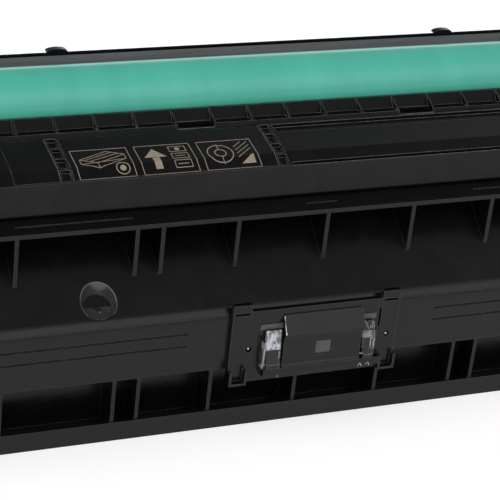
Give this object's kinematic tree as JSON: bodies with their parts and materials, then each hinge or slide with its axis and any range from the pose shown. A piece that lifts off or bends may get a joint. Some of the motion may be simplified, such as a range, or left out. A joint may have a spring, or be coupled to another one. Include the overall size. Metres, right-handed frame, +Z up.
{
  "type": "toner cartridge",
  "caption": "Long black laser printer toner cartridge with a bare green drum, ribbed guide strip, sloped hopper on gussets and an optical toner sensor on its front.",
  "frame": {"origin": "centre of the overall box at the level of the surface that the base rests on", "axes": "+X along the cartridge towards its gears, +Y from the belly to the cleaning housing, +Z up"},
  "size_m": [0.4, 0.15, 0.142],
  "materials": {
    "black_plastic": "fine grained injection moulding",
    "cover_plastic": "fine grained injection moulding with beige print",
    "cap_plastic": "fine grained injection moulding",
    "sensor_plastic": "smooth injection moulding",
    "drum_coating": "glossy green photoconductor coating",
    "gear_plastic": "natural acetal",
    "steel": "zinc plated",
    "rubber": "conductive rubber",
    "sleeve_metal": "blasted and coated aluminium",
    "magnet": "bonded ferrite",
    "clear_plastic": "clear acrylic light guide",
    "grey_plastic": "translucent grey",
    "film": "polyester film",
    "contact_metal": "plated contact",
    "board": "printed board",
    "plug_plastic": "soft polyethylene"
  },
  "bodies": {
    "frame": {"hopper_body": "black_plastic", "fill_plug": "plug_plastic", "hopper_cover": "cover_plastic", "ribbed_guide": "black_plastic", "drum_pin": "steel", "charge_bearings": "gear_plastic", "charge_leaf_springs": "steel", "drum_frame": "black_plastic", "waste_lid": "black_plastic", "blade_bracket": "steel", "blade_screws": "steel", "cleaning_blade": "rubber", "magnet_core": "magnet", "developer_bearings": "gear_plastic", "doctor_bracket": "steel", "doctor_blade": "rubber", "idler_pin": "steel", "side_plate_left": "cap_plastic", "side_plate_right": "cap_plastic", "end_cap_left": "cap_plastic", "end_cap_right": "cap_plastic", "cap_screws": "steel", "contact_plates": "contact_metal", "chip_board": "board", "sensor_frame": "sensor_plastic", "sensor_hood": "sensor_plastic", "sensor_window": "grey_plastic", "light_guide_left": "clear_plastic", "light_guide_right": "clear_plastic", "backing_pads": "grey_plastic"},
    "drum": {"photoconductor_drum": "drum_coating", "drum_gear": "gear_plastic", "drum_hub": "gear_plastic"},
    "charger": {"charge_roller": "rubber", "charge_shaft": "steel"},
    "developer": {"developer_sleeve": "sleeve_metal", "developer_gear": "gear_plastic", "developer_hub": "gear_plastic"},
    "idler": {"idler_gear": "gear_plastic"},
    "agitator": {"agitator_shaft": "black_plastic", "agitator_film": "film", "agitator_gear": "gear_plastic"}
  },
  "joints": [
    {"name": "drum_spin", "type": "hinge", "parent": "frame", "child": "drum", "pos_m": [0, 0.0277, 0.1191], "axis": [1, 0, 0], "continuous": true},
    {"name": "charger_spin", "type": "hinge", "parent": "frame", "child": "charger", "pos_m": [0, 0.04402, 0.10541], "axis": [1, 0, 0], "continuous": true},
    {"name": "developer_spin", "type": "hinge", "parent": "frame", "child": "developer", "pos_m": [0, 0.01638, 0.09659], "axis": [1, 0, 0], "continuous": true},
    {"name": "idler_spin", "type": "hinge", "parent": "frame", "child": "idler", "pos_m": [0, 0.01653, 0.07459], "axis": [1, 0, 0], "continuous": true},
    {"name": "agitator_spin", "type": "hinge", "parent": "frame", "child": "agitator", "pos_m": [0, -0.0115, 0.052], "axis": [1, 0, 0], "continuous": true}
  ],
  "couplings": [
    {"joint": "charger_spin", "follows": "drum_spin", "ratio": -2.5},
    {"joint": "developer_spin", "follows": "drum_spin", "ratio": -1.52},
    {"joint": "idler_spin", "follows": "drum_spin", "ratio": 1.2667},
    {"joint": "agitator_spin", "follows": "drum_spin", "ratio": -0.63333}
  ]
}
